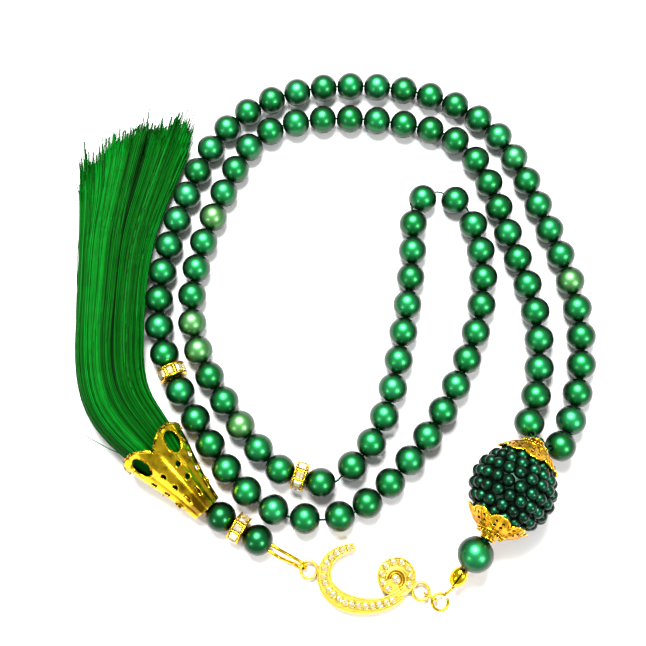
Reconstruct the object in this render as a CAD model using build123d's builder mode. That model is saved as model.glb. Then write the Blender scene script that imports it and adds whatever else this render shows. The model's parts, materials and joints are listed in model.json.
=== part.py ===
from build123d import *
from math import cos, radians, sin
import os

# Misbaha prayer beads laid out on a flat surface. Ninety-nine pearls in three sets of 33.
# Millimetres, +Z up, z = 0 is the surface the beads lie on, and the origin is under the middle of the loop.

# Driving dimensions
bead_d = 7.9  # pearl sold as 8 mm
bead_bore_d = 1.7
bead_pitch = 7.98  # pearl and the small gap after it
cord_d = 0.5
divider_d = 7.8
divider_width = 3.3
divider_gap = 0.08  # free space between a divider and each pearl beside it
imam_d = 22.5  # leader bead over its studs
stud_d = 3.1
pearl_d = 9.0  # single larger pearl below the leader bead
wire_d = 0.9
charm_thickness = 2.6
cone_narrow_d = 7.7
cone_mouth_d = 16.3
cone_wall = 0.6

bead_r = bead_d / 2
cord_r = cord_d / 2
imam_r = imam_d / 2
pearl_r = pearl_d / 2
wire_r = wire_d / 2
set_size = 33
bead_count = 3 * set_size

# Free cord left on the strand after these beads, where a bead can be slid along in counting
slack_after = {10: 0.4, 33: 1.4, 43: 0.3, 44: 1.3, 45: 1.0, 58: 1.1, 59: 0.5, 60: 0.6, 64: 0.8}
# Height above the surface of the first two and last two pearls, which hang from the leader bead's cap
end_lifts = (2.7, 1.1)

# The strand's way over the surface, from the first pearl to the last
outer_run = [(50.5, -30.5), (56, 3.5), (51.5, 23.5), (39, 53.5), (24.5, 59.5), (-0.5, 62.5)]
outer_run += [(-19.5, 56.5), (-25.5, 47.5), (-38, -0.5), (-29, -21.5), (-3.5, -42.5)]
inner_loop = [(1, -40.5), (18.5, -8), (25, 29.5), (26, 34), (35, 36), (42.5, 24), (36.5, -11.5)]
inner_loop += [(16, -41), (0, -51.5), (-18, -49)]
return_run = [(-37.5, -25), (-46.5, -4.5), (-39.5, 40.5), (-25.5, 63), (15.5, 72.5)]
return_run += [(50, 56.5), (61.5, 30), (68, 1.5), (65, -23), (58, -37)]

os.makedirs("parts", exist_ok=True)


def write(piece, name):
    """Labels a finished piece and writes its STEP file."""
    piece.part.label = name
    export_step(piece.part, f"parts/{name}.step")


def seat(point, direction):
    """Location at a point with its Z axis along a direction."""
    return Location(Plane(origin=point, z_dir=direction))


def heading(azimuth, rise=0.0):
    """Unit vector at an azimuth in the surface plane, tipped up by rise degrees."""
    turn, tip = radians(azimuth), radians(rise)
    return Vector(cos(turn) * cos(tip), sin(turn) * cos(tip), sin(tip))


def step_along(way, start, gap):
    """Position on the way that is a straight gap further on than start, both as shares of its length."""
    low, high = start, min(1.0, start + 2 * gap / way.length)
    for _ in range(30):
        middle = (low + high) / 2
        if (way @ middle - way @ start).length < gap:
            low = middle
        else:
            high = middle
    return high


# ---- the strand: where each pearl sits
with BuildLine() as strand_way:
    Spline(*[(x, y, bead_r) for x, y in outer_run + inner_loop + return_run])
way = strand_way.edge()

share = 0.0
bead_centres = [way @ 0]
for bead in range(bead_count - 1):
    at_divider = (bead + 1) % set_size == 0
    gap = bead_d + divider_width + 2 * divider_gap if at_divider else bead_pitch
    share = step_along(way, share, gap + slack_after.get(bead, 0))
    bead_centres.append(way @ share)
for k, lift in enumerate(end_lifts):
    bead_centres[k] += Vector(0, 0, lift)
    bead_centres[-1 - k] += Vector(0, 0, lift)

# ---- leader bead, its caps and the pearl below it
imam_centre = Vector(43.3, -47.6, imam_r)
imam_axis = heading(57)
cap_reach = 14.2  # from the leader bead's centre to a cap's outer end
pearl_axis = heading(230, -22)
shell_axis = heading(231.5, -28.7)
upper_cap_end = imam_centre + imam_axis * cap_reach
lower_cap_end = imam_centre - imam_axis * cap_reach
pearl_centre = lower_cap_end + pearl_axis * (pearl_r + 0.45)
pearl_exit = pearl_centre + pearl_axis * pearl_r

# Bore direction of each pearl: first along the line between its neighbours, then eased by the pull of the
# cord, which runs from where it leaves the pearl before to where it enters the pearl after
neighbours = [upper_cap_end] + bead_centres + [upper_cap_end]
bore_axes = [(neighbours[i + 2] - neighbours[i]).normalized() for i in range(bead_count)]
for _ in range(4):
    exits = [upper_cap_end] + [bead_centres[i] + bore_axes[i] * bead_r for i in range(bead_count)]
    entries = [bead_centres[i] - bore_axes[i] * bead_r for i in range(bead_count)] + [upper_cap_end]
    pulls = [(entries[i + 1] - exits[i]).normalized() for i in range(bead_count)]
    bore_axes = [(bore_axes[i] + pulls[i]).normalized() for i in range(bead_count)]

# The strand folds about two lines that run along Y. Pearls are numbered from 0 along the strand, and each run
# below lies wholly on one side of the folds. The counting bead slides on its own.
counting_bead = 59
bead_groups = {
    "set_1_beads_right": range(0, 17),
    "set_1_beads_middle": [17, 18, 19, 31, 32],
    "set_1_beads_left": range(20, 31),
    "set_2_beads_middle": [33, 60, 61],
    "set_2_beads_right": range(34, counting_bead),
    "set_2_beads_left": range(62, 66),
    "set_3_beads_left": range(66, 76),
    "set_3_beads_middle": range(76, 79),
    "set_3_beads_right": range(79, bead_count),
    "counting_bead": [counting_bead],
}

with BuildPart() as pearl:
    Sphere(bead_r)
    Hole(bead_bore_d / 2)

for name, members in bead_groups.items():
    with BuildPart() as beads:
        with Locations(*[seat(bead_centres[i], bore_axes[i]) for i in members]):
            add(pearl.part)
    write(beads, name)

# ---- cord
# Each stretch of cord runs straight through its pearls and stops just short of the next stretch's.
stretch_gap = 0.4  # between the ends of two stretches
bore_grip = 0.86 * bead_r  # how far from a pearl's centre its bore holds the cord straight
end_reach = bead_r + 0.2  # at the first and last pearls, where the cord turns sharply


def cord_stretch(first, last):
    """Points of a stretch of cord threaded through pearls first to last."""
    points = []
    for i in range(first, last + 1):
        reach = end_reach if i in (0, bead_count - 1) else bore_grip
        points += [bead_centres[i] - bore_axes[i] * reach, bead_centres[i] + bore_axes[i] * reach]
    before = (bead_centres[first] - bead_centres[first - 1]).length / 2 - stretch_gap / 2
    points[0] = bead_centres[first] - bore_axes[first] * before
    if last + 1 < bead_count:
        after = (bead_centres[last + 1] - bead_centres[last]).length / 2 - stretch_gap / 2
        points[-1] = bead_centres[last] + bore_axes[last] * after
    return points


# Both cord ends pass side by side through the leader bead and the pearl to the knot in the bead tip.
cord_spread = 0.45
sideways = imam_axis.cross(Vector(0, 0, 1)).normalized()
shell_centre = pearl_exit + shell_axis * 2.95
knot_r = 0.9


def lead(side, first_bead, direction):
    """Points of a cord end from the knot to the strand's first or last pearl."""
    offset = sideways * (side * cord_spread)
    points = [shell_centre + offset * 0.6, pearl_exit + offset, pearl_centre + offset]
    points += [pearl_centre - pearl_axis * pearl_r + offset, lower_cap_end + imam_axis * 1.5 + offset]
    leave = upper_cap_end + imam_axis * 0.3 + offset
    arrive = bead_centres[first_bead] - direction * (bead_r + 0.3)
    bend = leave + (imam_axis + (arrive - leave).normalized()) * 0.5
    return points + [imam_centre + offset, leave, bend, arrive]


cord_stretches = {
    "cord_right": [
        lead(-1, 0, bore_axes[0]) + cord_stretch(0, 16)[1:],
        cord_stretch(34, counting_bead - 1),
        lead(1, bead_count - 1, -bore_axes[-1]) + cord_stretch(79, bead_count - 1)[-2::-1],
    ],
    "cord_middle": [
        cord_stretch(17, 19),
        cord_stretch(31, 33),
        cord_stretch(counting_bead, 61),
        cord_stretch(76, 78),
    ],
    "cord_left": [cord_stretch(20, 30), cord_stretch(62, 75)],
}

least_turn = 0.6  # degrees; straighter points than this are left out of the cord's way


def turns(points, i):
    """Whether the cord turns at a point, or ends there."""
    at_end = i in (0, len(points) - 1)
    return at_end or (points[i] - points[i - 1]).get_angle(points[i + 1] - points[i]) > least_turn


for name, stretches in cord_stretches.items():
    with BuildPart() as cord:
        for points in stretches:
            with BuildLine() as run:
                Polyline(*[points[i] for i in range(len(points)) if turns(points, i)])
            with BuildSketch(Plane(origin=points[0], z_dir=points[1] - points[0])):
                Circle(cord_r)
            sweep(path=run.line, transition=Transition.RIGHT)
        if name == "cord_right":
            with Locations(shell_centre):
                Sphere(knot_r)
    write(cord, name)

# ---- dividers: a flanged ring set with stones
divider_r = divider_d / 2
flange = 0.45
channel_r = 2.6  # floor of the channel the stones sit in
divider_bore_r = 1.35
stone_count = 8
stone_width = 1.6
post_circle_r = 3.1
post_r = 0.28
stone_height = 1.15
stone_bevel = 0.35

with BuildPart() as divider_ring:
    Cylinder(divider_r, divider_width)
    with BuildSketch(Plane.XZ) as channel:
        with Locations((channel_r + divider_r / 2, 0)):
            Rectangle(divider_r, divider_width - 2 * flange)
    revolve(axis=Axis.Z, mode=Mode.SUBTRACT)
    circles = divider_ring.edges().filter_by(GeomType.CIRCLE)
    fillet(circles.filter_by(lambda edge: edge.radius > divider_r - 0.01), flange * 0.4)
    Cylinder(divider_bore_r, divider_width, mode=Mode.SUBTRACT)
    with PolarLocations(post_circle_r, stone_count, start_angle=180 / stone_count):
        Cylinder(post_r, divider_width - flange)

with BuildPart() as divider_stone:
    with Locations((channel_r + 0.1, 0, 0)):
        stone_length = divider_width - 2 * flange
        Box(stone_height, stone_width, stone_length, align=(Align.MIN, Align.CENTER, Align.CENTER))
    chamfer(divider_stone.faces().sort_by(Axis.X)[-1].edges(), stone_bevel)

with BuildPart() as divider_stones:
    with PolarLocations(0, stone_count):
        add(divider_stone.part)


def divider_seat(before, after):
    """Location of a divider between two pearls, its axis along the cord."""
    return seat((before + after) / 2, after - before)


# ---- pendant, from the charm's left eye to the tassel
eye_height = 1.5
eye_r = 2.15  # centre line of a charm eye's wire
eye_wire_r = 0.45
left_eye = Vector(-9.5, -64.6, eye_height)
pendant_axis = heading(146)
pendant_bead_1_centre = Vector(-22.3, -56.5, bead_r)
divider_step = bead_d + divider_width + 2 * divider_gap
pendant_bead_2_centre = pendant_bead_1_centre + pendant_axis * divider_step
pendant_bore_d = 2.8  # takes both legs of the wire hairpin

divider_seats = {
    "divider_1": divider_seat(bead_centres[32], bead_centres[33]),
    "divider_2": divider_seat(bead_centres[65], bead_centres[66]),
}
for name, place in divider_seats.items():
    with BuildPart() as ring:
        with Locations(place):
            add(divider_ring.part)
    write(ring, f"{name}_ring")
    with BuildPart() as stones:
        with Locations(place):
            add(divider_stones.part)
    write(stones, f"{name}_stones")

with BuildPart() as pendant_divider_ring:
    with Locations(divider_seat(pendant_bead_1_centre, pendant_bead_2_centre)):
        add(divider_ring.part)
        Cylinder(pendant_bore_d / 2, divider_width, mode=Mode.SUBTRACT)
write(pendant_divider_ring, "pendant_divider_ring")

with BuildPart() as pendant_divider_stones:
    with Locations(divider_seat(pendant_bead_1_centre, pendant_bead_2_centre)):
        add(divider_stones.part)
write(pendant_divider_stones, "pendant_divider_stones")

pendant_beads = {"pendant_bead_1": pendant_bead_1_centre, "pendant_bead_2": pendant_bead_2_centre}
for name, centre in pendant_beads.items():
    with BuildPart() as pendant_bead:
        with Locations(seat(centre, pendant_axis)):
            Sphere(bead_r)
            Cylinder(pendant_bore_d / 2, bead_d, mode=Mode.SUBTRACT)
    write(pendant_bead, name)

# ---- leader bead: a bored core covered in half-bead studs
core_r = 9.9
imam_bore_d = 2.6
stud_rings = {0: 17, 19: 16, 38: 14, 57: 9}  # studs in each ring, by its angle from the equator
staggered_rings = (19, 57)  # turned half a stud's spacing

with BuildPart() as imam_core:
    with Locations(seat(imam_centre, imam_axis)):
        Sphere(core_r)
        Cylinder(imam_bore_d / 2, imam_d, mode=Mode.SUBTRACT)
write(imam_core, "imam_core")

with BuildPart() as stud:
    with Locations((0, 0, imam_r - stud_d / 2)):
        Sphere(stud_d / 2)
    Sphere(core_r, mode=Mode.SUBTRACT)

stud_seats = []
for latitude, count in stud_rings.items():
    for side in (1, -1) if latitude else (1,):
        for k in range(count):
            turn = 360 / count * (k + (0.5 if latitude in staggered_rings else 0))
            stud_seats.append(seat((0, 0, 0), heading(turn, side * latitude)))

imam_place = seat(imam_centre, imam_axis)
with BuildPart() as imam_studs:
    with Locations(*[imam_place * stud_seat for stud_seat in stud_seats]):
        add(stud.part)
write(imam_studs, "imam_studs")

# Filigree cap: a thin bell over the end of the leader bead with eight petals round its rim
cap_wall = 0.4
petal_count = 8
cap_collar_r = 1.7
cap_hole_r = 1.2
# Radius of the bell's inner face, and distance from the leader bead's centre
bell = [(7.3, 9.0), (6.2, 10.4), (4.2, 11.9), (2.3, 13.2)]
scallop_r = 1.9  # cut from the rim between two petals
scallop_at = (8.1, 8.2)
piercing_r = 0.55  # one through each petal
piercing_at = (5.6, 11)
piercing_tilt = 40

with BuildPart() as cap:
    with BuildSketch(Plane.XZ):
        with BuildLine():
            inner = Spline(*bell)
            outer = Spline(*[(r + cap_wall * 0.7, h + cap_wall * 0.7) for r, h in bell])
            Line(inner @ 0, outer @ 0)
            rise = Line(outer @ 1, (cap_collar_r, cap_reach))
            top = Line(rise @ 1, (cap_hole_r, cap_reach))
            drop = Line(top @ 1, (cap_hole_r, cap_reach - 1.0))
            Line(drop @ 1, inner @ 1)
        make_face()
    revolve(axis=Axis.Z)
    with PolarLocations(scallop_at[0], petal_count, start_angle=180 / petal_count):
        with Locations((0, 0, scallop_at[1])):
            Sphere(scallop_r, mode=Mode.SUBTRACT)
    with PolarLocations(piercing_at[0], petal_count):
        with Locations(Location((0, 0, piercing_at[1]), (0, piercing_tilt, 0))):
            Cylinder(piercing_r, 3, mode=Mode.SUBTRACT)

for name, direction in {"imam_upper_cap": imam_axis, "imam_lower_cap": -imam_axis}.items():
    with BuildPart() as placed_cap:
        with Locations(seat(imam_centre, direction)):
            add(cap.part)
    write(placed_cap, name)

lower_pearl_bore_d = 2.2  # takes both cord ends
with BuildPart() as lower_pearl:
    with Locations(seat(pearl_centre, pearl_axis)):
        Sphere(pearl_r)
        Cylinder(lower_pearl_bore_d / 2, pearl_d, mode=Mode.SUBTRACT)
write(lower_pearl, "lower_pearl")

# ---- clamshell bead tip closed over the knot, with its hook
shell_length = 5.5
shell_r = 2.0
shell_wall = 0.35
shell_hole_r = 0.95
hook_wire_r = 0.4
hook_r = 2.05  # centre line of the hook's loop
hook_centre = Vector(23.6, -74.3, 2.0)

with BuildPart() as shell_blank:
    with BuildSketch(Plane.XZ):
        with BuildLine():
            wall = EllipticalCenterArc((0, 0), shell_r, shell_length / 2, start_angle=-90, arc_size=180)
            Line(wall @ 0, wall @ 1)
        make_face()
    revolve(axis=Axis.Z)
    with BuildSketch(Plane.XZ):
        with BuildLine():
            inner_r = shell_r - shell_wall
            inner_reach = shell_length / 2 - shell_wall
            hollow = EllipticalCenterArc((0, 0), inner_r, inner_reach, start_angle=-90, arc_size=180)
            Line(hollow @ 0, hollow @ 1)
        make_face()
    revolve(axis=Axis.Z, mode=Mode.SUBTRACT)
    with Locations((0, 0, -shell_length / 2)):
        Cylinder(shell_hole_r, shell_length, mode=Mode.SUBTRACT)

shell_side = shell_axis.cross(Vector(0, 0, 1)).normalized()
shell_place = Location(Plane(origin=shell_centre, x_dir=shell_side.cross(shell_axis), z_dir=shell_axis))
parting = 0.06  # half the gap between the closed shells

with BuildPart() as clamshell_lid:
    with Locations(shell_place):
        add(shell_blank.part)
        with Locations((0, parting, 0)):
            Box(10, 10, 10, align=(Align.CENTER, Align.MAX, Align.CENTER), mode=Mode.SUBTRACT)
write(clamshell_lid, "clamshell_lid")

# The lower shell ends in a wire arm and a loop turned from it.
arm_offset = 0.55  # to the lower shell's side of the parting
shell_end = shell_centre + shell_axis * (shell_length / 2 - shell_wall) - shell_side * arm_offset
arm_heading = Vector(shell_end.X - hook_centre.X, shell_end.Y - hook_centre.Y, 0).normalized()
loop_entry = hook_centre + arm_heading * hook_r

with BuildPart() as clamshell_cup:
    with Locations(shell_place):
        add(shell_blank.part)
        with Locations((0, -parting, 0)):
            Box(10, 10, 10, align=(Align.CENTER, Align.MIN, Align.CENTER), mode=Mode.SUBTRACT)
    with BuildLine() as arm:
        Spline(shell_end, loop_entry, tangents=(shell_axis, -arm_heading))
    with BuildSketch(Plane(origin=shell_end, z_dir=shell_axis)):
        Circle(hook_wire_r)
    sweep(path=arm.line)
    with Locations(hook_centre):
        Torus(hook_r, hook_wire_r)
write(clamshell_cup, "clamshell_cup")

# ---- jump ring standing through the hook loop and the charm's eye
ring_r = 1.85  # centre line
ring_wire_r = 0.35
ring_to_hook = 2.65
ring_to_eye = 2.75
ring_slit = 0.12
chain_azimuth = 148.5
chain_heading = heading(chain_azimuth)
ring_centre = hook_centre + chain_heading * ring_to_hook
ring_centre.Z = ring_r + ring_wire_r
right_eye = ring_centre + chain_heading * ring_to_eye
right_eye.Z = eye_height

with BuildPart() as jump_ring:
    with Locations(seat(ring_centre, heading(chain_azimuth + 90))):
        Torus(ring_r, ring_wire_r)
    with Locations(ring_centre + Vector(0, 0, ring_r)):
        Box(ring_slit, 2, 2, mode=Mode.SUBTRACT)
write(jump_ring, "jump_ring")

# ---- crescent charm: a tapering C that curls into a round head
crescent_line = [(2.8, -59.4), (-3.8, -62.4), (-5.3, -66.9), (-1.9, -72.0)]
crescent_line += [(3.8, -74.1), (9.0, -74.1), (14.0, -72.0)]
crescent_half_widths = [0.95, 1.55, 2.05, 1.85, 1.5, 1.45]  # at even shares of the line, from the tip
head_centre = Vector(13.0, -67.5)
head_r = 5.0
groove_centre = Vector(12.8, -68.2)
groove_r = 1.6
groove_width = 0.5
groove_depth = 0.6
stone_r = 0.78
stone_drop = 0.4  # depth of a stone's pocket below the charm's top face
crescent_stones = 19
head_stone_ring_r = 3.7
head_stones = 9
centre_stone_scale = 1.2

with BuildLine() as crescent:
    Spline(*crescent_line)
crescent_edge = crescent.edge()


def beside(share, side):
    """Point on the crescent's outline, beside a share of its centre line."""
    place = share * (len(crescent_half_widths) - 1)
    k = min(int(place), len(crescent_half_widths) - 2)
    low, high = crescent_half_widths[k : k + 2]
    half_width = low + (high - low) * (place - k)
    ahead = crescent_edge % share
    return crescent_edge @ share + Vector(-ahead.Y, ahead.X) * (side * half_width)


outline_shares = [k / 8 for k in range(9)]

with BuildPart() as crescent_charm:
    with BuildSketch():
        with BuildLine():
            outer = Spline(*[beside(share, -1) for share in outline_shares])
            inner = Spline(*[beside(share, 1) for share in outline_shares])
            Line(outer @ 0, inner @ 0)
            Line(outer @ 1, inner @ 1)
        make_face()
        with Locations(head_centre):
            Circle(head_r)
    extrude(amount=charm_thickness)
    with Locations(left_eye, right_eye):
        Torus(eye_r, eye_wire_r)
    with BuildSketch(Plane.XY.offset(charm_thickness)):
        with BuildLine() as groove_line:
            CenterArc(groove_centre, groove_r, -60, 230)
        trace(groove_line.line, line_width=groove_width)
    extrude(amount=-groove_depth, mode=Mode.SUBTRACT)

with BuildPart() as stone:
    with BuildSketch(Plane.XZ):
        with BuildLine():
            girdle = [(0, -stone_drop), (stone_r, -stone_drop), (stone_r, 0.12)]
            Polyline(*girdle, (0.5 * stone_r, 0.34), (0, 0.34), close=True)
        make_face()
    revolve(axis=Axis.Z)

stone_spots = [crescent_edge @ ((k + 0.6) / crescent_stones) for k in range(crescent_stones)]
stone_spots = [spot for spot in stone_spots if (spot - head_centre).length > head_r + stone_r * 0.6]
stone_seats = [Location((spot.X, spot.Y, charm_thickness)) for spot in stone_spots]
for k in range(head_stones):
    spot = head_centre + heading(-35 + 300 / head_stones * k) * head_stone_ring_r
    stone_seats.append(Location((spot.X, spot.Y, charm_thickness)))

with BuildPart() as charm_stones:
    with Locations(*stone_seats):
        add(stone.part)
    with Locations((groove_centre.X, groove_centre.Y, charm_thickness)):
        add(scale(stone.part, by=centre_stone_scale, mode=Mode.PRIVATE))
write(charm_stones, "charm_stones")

with crescent_charm:
    add(charm_stones.part, mode=Mode.SUBTRACT)
write(crescent_charm, "crescent_charm")

# ---- wire hairpin from the charm's left eye to the tassel cap
leg_offset = 1.2  # half the spacing of the legs at the eye
leg_lean = 35  # how far the pair of legs leans from upright at the eye
leg_offset_in_beads = 0.8
leg_straight = 2.2  # before the legs turn towards the first bead
leg_in_cone = 3.2
hairpin_heading = heading(147.5)
hairpin_side = hairpin_heading.cross(Vector(0, 0, 1))
eye_rim = left_eye + hairpin_heading * eye_r
lean = hairpin_side * sin(radians(leg_lean)) + Vector(0, 0, cos(radians(leg_lean)))
bead_side = pendant_axis.cross(Vector(0, 0, 1)).normalized()
bore_entry = pendant_bead_1_centre - pendant_axis * (bead_r + 0.3)
cone_entry = pendant_bead_2_centre + pendant_axis * (bead_r + 0.35)
leg_end = cone_entry + pendant_axis * leg_in_cone


def leg_points(side):
    """Way of one leg of the hairpin, from the bend to the end inside the tassel cap."""
    start = eye_rim + lean * (side * leg_offset)
    step = hairpin_heading * leg_straight
    beads = bead_side * (side * leg_offset_in_beads)
    return [start, start + step, bore_entry + beads, leg_end + beads]


with BuildPart() as hairpin_wire:
    with BuildLine() as hairpin:
        first = leg_points(1)
        second = leg_points(-1)
        Polyline(*first[::-1])
        ThreePointArc(first[0], eye_rim - hairpin_heading * leg_offset, second[0])
        Polyline(*second)
    with BuildSketch(Plane(origin=first[-1], z_dir=first[-2] - first[-1])):
        Circle(wire_r)
    sweep(path=hairpin.wire(), transition=Transition.RIGHT)
write(hairpin_wire, "hairpin_wire")

# ---- tassel cap: a four-lobed cone ending in four petals
cone_heading = heading(129.2, 11.3)
cone_top = Vector(0, 0, 1) - cone_heading * cone_heading.Z
cone_origin = cone_entry + Vector(0, 0, 0.1)
cone_place = Location(Plane(origin=cone_origin, x_dir=cone_top, z_dir=cone_heading))
flute = 0.86  # radius between the ridges, as a share of the radius on a ridge
# Distance from the narrow end, and radius of a ridge as a share of that at the mouth
ridge_profile = [(0, 0.5), (6.6, 0.64), (13.3, 0.84), (18.2, 1.0), (23.4, 1.09)]
mouth_at = 17.8
petal_half_width = 6.6
petal_length = 5.6
entry_r = 1.9  # hole in the narrow end
window = (2.9, 3.3)  # half width and half length of the opening in each petal
window_at = mouth_at + 1.2
hole_r = 1.0
holes_at = (13.7, 9.7)
slot_length, slot_width, slot_at = 3.4, 1.2, 5.2


def lobed(height, ridge_r):
    """Closed four-lobed outline, its first ridge on top."""
    with BuildSketch(Plane.XY.offset(height)) as outline:
        with BuildLine():
            rim = [heading(45 * k) * (ridge_r * (flute if k % 2 else 1.0)) for k in range(8)]
            Spline(*rim, periodic=True)
        make_face()
    return outline.sketch


with BuildPart() as cone_blank:
    for height, mouth_share in ridge_profile:
        add(lobed(height, cone_mouth_d / 2 * mouth_share))
    loft()
    hollow_profile = [(cone_wall, 0.5)] + ridge_profile[1:]
    for height, mouth_share in hollow_profile:
        add(lobed(height, cone_mouth_d / 2 * mouth_share - cone_wall))
    loft(mode=Mode.SUBTRACT)

with BuildPart() as petal_cutter:
    with Locations((0, 0, mouth_at)):
        Box(30, 30, 12, align=(Align.CENTER, Align.CENTER, Align.MIN))
    for turn in (45, 135):
        across = Plane(origin=(0, 0, mouth_at), x_dir=heading(turn + 90), z_dir=heading(turn))
        with BuildSketch(across):
            Ellipse(petal_half_width, petal_length)
        extrude(amount=15, both=True, mode=Mode.SUBTRACT)

with BuildPart() as piercings:
    Cylinder(entry_r, 4)
    for turn in (45, 135):
        with BuildSketch(Plane(origin=(0, 0, 0), x_dir=heading(turn + 90), z_dir=heading(turn))):
            with Locations((0, window_at)):
                Ellipse(*window)
        extrude(amount=15, both=True)
    for turn in (22.5, 67.5, 112.5, 157.5):
        with BuildSketch(Plane(origin=(0, 0, 0), x_dir=heading(turn + 90), z_dir=heading(turn))):
            with Locations(*[(0, hole_at) for hole_at in holes_at]):
                Circle(hole_r)
            with Locations((0, slot_at)):
                SlotOverall(slot_length, slot_width, rotation=90)
        extrude(amount=15, both=True)

with BuildPart() as cone_cap:
    with Locations(cone_place):
        add(cone_blank.part)
        add(petal_cutter.part, mode=Mode.SUBTRACT)
        add(piercings.part, mode=Mode.SUBTRACT)
write(cone_cap, "cone_cap")

# ---- tassel: a bound head inside the cap and a skirt of threads
binding_from, binding_to = 5.0, 14.4  # distances from the cap's narrow end
binding_r = (2.6, 4.9)
with BuildPart() as tassel_binding:
    with Locations(cone_place * Location((0, 0, binding_from))):
        Cone(*binding_r, binding_to - binding_from, align=(Align.CENTER, Align.CENTER, Align.MIN))
write(tassel_binding, "tassel_binding")

# Middle of the skirt, its half width and half height, and its azimuth and rise, from the cap to the cut ends
in_cap = cone_origin + cone_heading * 15.6
past_petals = cone_origin + cone_heading * 24
skirt_stations = [
    (in_cap.X, in_cap.Y, in_cap.Z, 4.6, 4.6, 129.2, 11.3),
    (past_petals.X, past_petals.Y, past_petals.Z - 0.6, 5.8, 5.0, 129.2, 11.3),
    (-58.0, -19.0, 6.6, 8.6, 6.1, 112, -8),
    (-61.8, -3.0, 5.4, 9.4, 5.1, 97, -5),
    (-61.9, 13.0, 4.6, 9.5, 4.4, 91, -4),
    (-60.8, 30.0, 3.8, 10.4, 3.6, 90, -3),
    (-57.8, 46.0, 3.0, 12.8, 2.8, 98, -3),
    (-55.2, 62.0, 2.2, 15.6, 2.0, 102, -2),
]

with BuildPart() as tassel_skirt:
    for x, y, z, half_width, half_height, azimuth, rise in skirt_stations:
        across = Plane(origin=(x, y, z), x_dir=heading(azimuth - 90), z_dir=heading(azimuth, rise))
        with BuildSketch(across):
            Ellipse(half_width, half_height)
    loft(ruled=True)
write(tassel_skirt, "tassel_skirt")
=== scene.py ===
import json
from math import asin, cos, pi, radians, sin, sqrt

import bpy
import numpy as np
from mathutils import Matrix


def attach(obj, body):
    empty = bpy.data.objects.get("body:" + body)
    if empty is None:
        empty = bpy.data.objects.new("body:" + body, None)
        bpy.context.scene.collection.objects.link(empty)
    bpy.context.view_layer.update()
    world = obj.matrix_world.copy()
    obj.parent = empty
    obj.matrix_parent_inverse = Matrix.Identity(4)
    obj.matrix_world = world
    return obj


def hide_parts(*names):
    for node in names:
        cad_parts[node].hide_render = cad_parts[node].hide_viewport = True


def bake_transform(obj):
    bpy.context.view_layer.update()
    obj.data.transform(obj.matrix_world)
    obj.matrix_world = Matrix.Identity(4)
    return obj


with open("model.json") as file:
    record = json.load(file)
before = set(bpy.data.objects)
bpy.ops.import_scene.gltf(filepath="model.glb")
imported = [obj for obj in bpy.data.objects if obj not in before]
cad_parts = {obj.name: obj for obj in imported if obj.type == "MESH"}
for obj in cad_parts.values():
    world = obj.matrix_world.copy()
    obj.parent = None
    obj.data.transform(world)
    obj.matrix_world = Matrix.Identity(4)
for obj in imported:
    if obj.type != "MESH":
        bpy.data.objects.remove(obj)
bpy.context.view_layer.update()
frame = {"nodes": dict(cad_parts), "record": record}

# Misbaha prayer beads. Lengths below are in millimetres in the frame of the CAD; MM turns them into metres.
MM = 0.001
X, Y, Z = np.eye(3)
rng = np.random.default_rng(11)
behaviour = frame["record"]["behaviour"]
joints = {joint["name"]: joint for joint in behaviour["joints"]}
body_of_node = {node: body for body, members in behaviour["bodies"].items() for node in members}


# ---------------------------------------------------------------- geometry helpers
def unit(v):
    """Vectors scaled to length 1."""
    v = np.asarray(v, float)
    return v / np.linalg.norm(v, axis=-1, keepdims=True)


def joint_place(name):
    """Point (mm) and axis of a joint at rest."""
    joint = joints[name]
    return np.array(joint["pos_m"]) / MM, unit(joint["axis"])


def basis(axis, top=None):
    """Rotation whose third column is axis, and whose first is as near to top as it can be."""
    axis = unit(axis)
    if top is None:
        top = Z if abs(axis[2]) < 0.9 else X
    x = unit(top - axis * np.dot(top, axis))
    return np.column_stack((x, np.cross(axis, x), axis))


def heading(azimuth, rise=0.0):
    """Unit vector at an azimuth and a rise, in degrees."""
    a, r = radians(azimuth), radians(rise)
    return np.array((cos(a) * cos(r), sin(a) * cos(r), sin(r)))


def around(radius, share, height):
    """Point at a radius and a height, a share of a turn about Z."""
    angle = share * 2 * pi
    return np.array((radius * cos(angle), radius * sin(angle), height))


def spin_about_z(angle):
    """Rotation about Z by an angle in radians."""
    return np.array(((cos(angle), -sin(angle), 0), (sin(angle), cos(angle), 0), (0, 0, 1)))


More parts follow.
